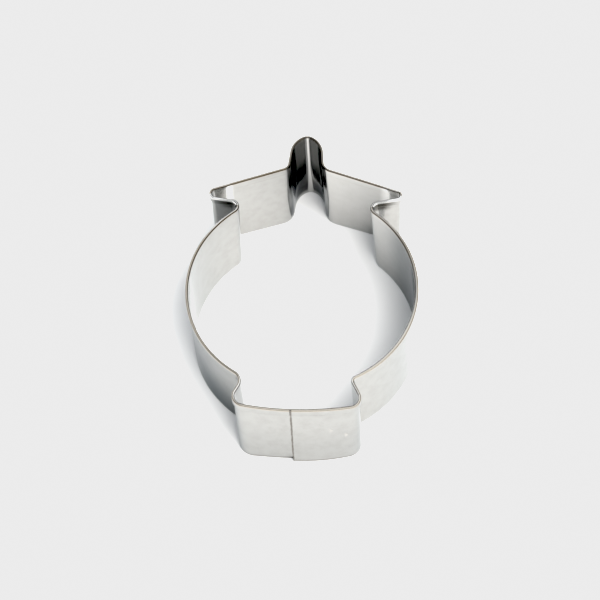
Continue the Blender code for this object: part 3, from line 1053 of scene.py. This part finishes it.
class CUTTER_OT_welds(bpy.types.Operator):
    """Forms the two spot welds"""

    bl_idname = "cutter.welds"
    bl_label = "Spot welds"

    def execute(self, context):
        scene = context.scene
        tree = weld_tree(scene.cutter_strip, weld_steel(scene.cutter_finish))
        welds = tree.shape("spot_welds", weld_points(StripPath(scene)))
        finished(welds, "weld_steel", *WELDS)
        return {"FINISHED"}


def floor_material(stage):
    graph = SteelGraph("matt_floor")
    graph.shader.inputs["Specular IOR Level"].default_value = 0.1
    return graph.surface(base_color=opaque(stage.floor_colour), roughness=0.9)


def add_floor(stage):
    mesh = bpy.data.meshes.new("floor")
    half = stage.floor_size
    corners = [(-half, -half, 0.0), (half, -half, 0.0), (half, half, 0.0), (-half, half, 0.0)]
    mesh.from_pydata(corners, [], [(0, 1, 2, 3)])
    mesh.materials.append(floor_material(stage))
    floor = linked("floor", mesh)


# The glow's colour by height, its lift in front and on the left, and the light behind and from the softbox
GLOW = (
    (0.0, (0.045, 0.038, 0.03)),
    (0.35, (0.09, 0.075, 0.06)),
    (0.62, (0.64, 0.66, 0.675)),
    (1.0, (0.71, 0.735, 0.755)),
)
FRONT_LIFT, LEFT_LIFT = 0.35, 0.12
GLOW_STRENGTH, BEHIND_STRENGTH, SOFTBOX_STRENGTH = 0.57, 0.98, 1.22
SOFTBOX_DIRECTION = (0.4, -0.41, 0.82)
SOFTBOX_EDGE = (0.5, 0.85)


def add_world():
    """A soft glow, dim low behind the cutter, with a broad softbox above the front right."""
    world = bpy.data.worlds.new("studio")
    world.use_nodes = True
    bpy.context.scene.world = world
    graph = Graph(world.node_tree)
    background = world.node_tree.nodes["Background"].inputs
    direction = graph.node("ShaderNodeTexCoord")["Generated"]
    place = graph.node("ShaderNodeSeparateXYZ", {}, {"Vector": direction})
    lift = place["Y"].smooth(0.0, -0.6) * FRONT_LIFT + place["X"].smooth(-0.1, -0.7) * LEFT_LIFT
    stops = [(position, opaque(colour)) for position, colour in GLOW]
    ramp = graph.node("ShaderNodeValToRGB", {"stops": stops}, {"Fac": place["Z"] + lift})["Color"]
    graph.feed(background["Color"], ramp)
    behind = place["Y"].smooth(0.1, 0.5) * place["Z"].smooth(0.4, 0.8)
    softbox = graph.vector("DOT_PRODUCT", direction, SOFTBOX_DIRECTION)["Value"].smooth(*SOFTBOX_EDGE)
    strength = GLOW_STRENGTH + behind * BEHIND_STRENGTH + softbox * SOFTBOX_STRENGTH
    graph.feed(background["Strength"], strength)


def add_key(stage):
    """A wide soft light from the front right, kept out of the steel's reflections."""
    light = bpy.data.lights.new("key", "SUN")
    light.energy = stage.key_strength
    light.angle = stage.key_width
    light.color = stage.key_colour
    key = linked("key", light)
    key.rotation_mode = "QUATERNION"
    key.rotation_quaternion = Vector(stage.key_source).to_track_quat("Z", "Y")
    key.visible_glossy = False


def add_camera(stage):
    data = bpy.data.cameras.new("camera")
    data.lens = stage.lens
    data.sensor_width = 36.0
    data.clip_start = 0.01
    camera = linked("camera", data)
    level = heading(stage.azimuth) * math.cos(stage.elevation)
    back = Vector((level.y, -level.x, math.sin(stage.elevation)))
    camera.location = Vector(stage.aim) + back * stage.distance
    camera.rotation_mode = "QUATERNION"
    camera.rotation_quaternion = back.to_track_quat("Z", "Y") @ Quaternion((0.0, 0.0, 1.0), -stage.roll)
    bpy.context.scene.camera = camera


def set_film():
    """A bright exposure whose whites stop at the pale grey of the backdrop."""
    view = bpy.context.scene.view_settings
    view.view_transform = "Standard"
    view.look = "None"
    view.exposure = 0.0
    view.use_curve_mapping = True
    curve = view.curve_mapping.curves[3]
    for point, place in zip(curve.points, (FILM_BLACK, FILM_WHITE)):
        point.location = place
        point.handle_type = "VECTOR"
    view.curve_mapping.extend = "HORIZONTAL"
    view.curve_mapping.update()


class CUTTER_OT_stage(bpy.types.Operator):
    """Sets the floor, the lights and the camera"""

    bl_idname = "cutter.stage"
    bl_label = "Stage"

    def execute(self, context):
        stage = context.scene.cutter_stage
        add_floor(stage)
        add_world()
        add_key(stage)
        add_camera(stage)
        set_film()
        return {"FINISHED"}


class CUTTER_PT_panel(bpy.types.Panel):
    """Lists what forms the cutter"""

    bl_label = "Cookie cutter"
    bl_space_type = "VIEW_3D"
    bl_region_type = "UI"
    bl_category = "Cutter"

    def draw(self, context):
        for operator in OPERATORS:
            self.layout.operator(operator.bl_idname)
        for group in GROUPS:
            settings = getattr(context.scene, group)
            for name in settings.bl_rna.properties.keys():
                if name not in ("rna_type", "name"):
                    self.layout.prop(settings, name)


OPERATORS = (CUTTER_OT_band, CUTTER_OT_welds, CUTTER_OT_stage)
BENT = ("cutter_left_rim", "cutter_left_edge", "cutter_right_rim", "cutter_right_edge")
GROUPS = {
    **dict.fromkeys(BENT, OutlineSizes),
    "cutter_strip": StripSizes,
    "cutter_finish": SteelFinish,
    "cutter_stage": StageSettings,
}
KINDS = (OutlineSizes, StripSizes, SteelFinish, StageSettings, *OPERATORS, CUTTER_PT_panel)


# How bending by hand left each size's value, after its unit, for the left rim, the left edge, the right rim
# and the right edge
HAND_BENDING = {
    "body_radius": (MM, 28.65, 28.45, 28.4, 28.85),
    "foot_reach": (MM, 34.3, 34.95, 33.8, 35.3),
    "foot_half_width": (MM, 17.6, 17.9, 16.85, 17.9),
    "foot_flare": (DEGREE, 27.5, 25.0, 27.0, 25.0),
    "front_bow": (MM, 75.0, 150.0, 75.0, 50.0),
    "foot_corner": (MM, 2.45, 4.2, 2.4, 3.6),
    "foot_notch": (MM, 3.1, 1.6, 1.5, 1.6),
    "shoulder_half_width": (MM, 24.3, 24.3, 24.1, 24.1),
    "shoulder_height": (MM, 26.73, 26.73, 27.25, 27.25),
    "shoulder_rise": (DEGREE, 8.0, 8.0, 12.0, 12.0),
    "shoulder_slope": (DEGREE, 20.0, 18.5, 19.3, 17.5),
    "shoulder_tip": (MM, 1.29, 1.47, 0.96, 1.52),
    "shoulder_notch": (MM, 2.05, 2.6, 2.05, 2.75),
    "spike_reach": (MM, 45.55, 45.1, 45.55, 45.1),
    "spike_top": (MM, 2.1, 2.4, 2.1, 2.4),
    "spike_half_width": (MM, 4.05, 4.05, 3.4, 3.95),
    "spike_shift": (MM, 0.3, 0.0, -0.3, 0.0),
    "spike_draft": (DEGREE, 6.2, 5.0, 4.1, 9.0),
    "spike_root": (MM, 2.2, 4.0, 3.25, 4.0),
}

# The right rim's open hem, and the painted shade, highlights and dark fold reflection along the two rims
RIM_MARKS = {
    "cutter_left_rim": {"tarnish": 1.0, "shine": 1.0},
    "cutter_right_rim": {
        "hem_spread": 0.45,
        "bare_fold": 0.55,
        "polish": 0.2,
        "shade": 0.4,
        "stain": 1.0,
        "stain_end": 24.1 * MM,
        "least_wear": 0.0,
        "body_wear": 0.55,
        "wing_wear": 0.85,
    },
}


def bend_and_mark(scene):
    """Gives each edge of each half its own sizes, and the rims their open hem, painted shade and highlights.
    """
    for name, (unit, *values) in HAND_BENDING.items():
        for group, value in zip(BENT, values):
            setattr(getattr(scene, group), name, value * unit)
    for group, marks in RIM_MARKS.items():
        for name, value in marks.items():
            setattr(getattr(scene, group), name, value)


def register():
    for kind in KINDS:
        bpy.utils.register_class(kind)
    for name, kind in GROUPS.items():
        setattr(bpy.types.Scene, name, bpy.props.PointerProperty(type=kind))


def unregister():
    for name in GROUPS:
        delattr(bpy.types.Scene, name)
    for kind in reversed(KINDS):
        bpy.utils.unregister_class(kind)


def main():
    register()
    bend_and_mark(bpy.context.scene)
    bpy.ops.cutter.band()
    bpy.ops.cutter.welds()
    bpy.ops.cutter.stage()


if __name__ == "__main__":
    main()
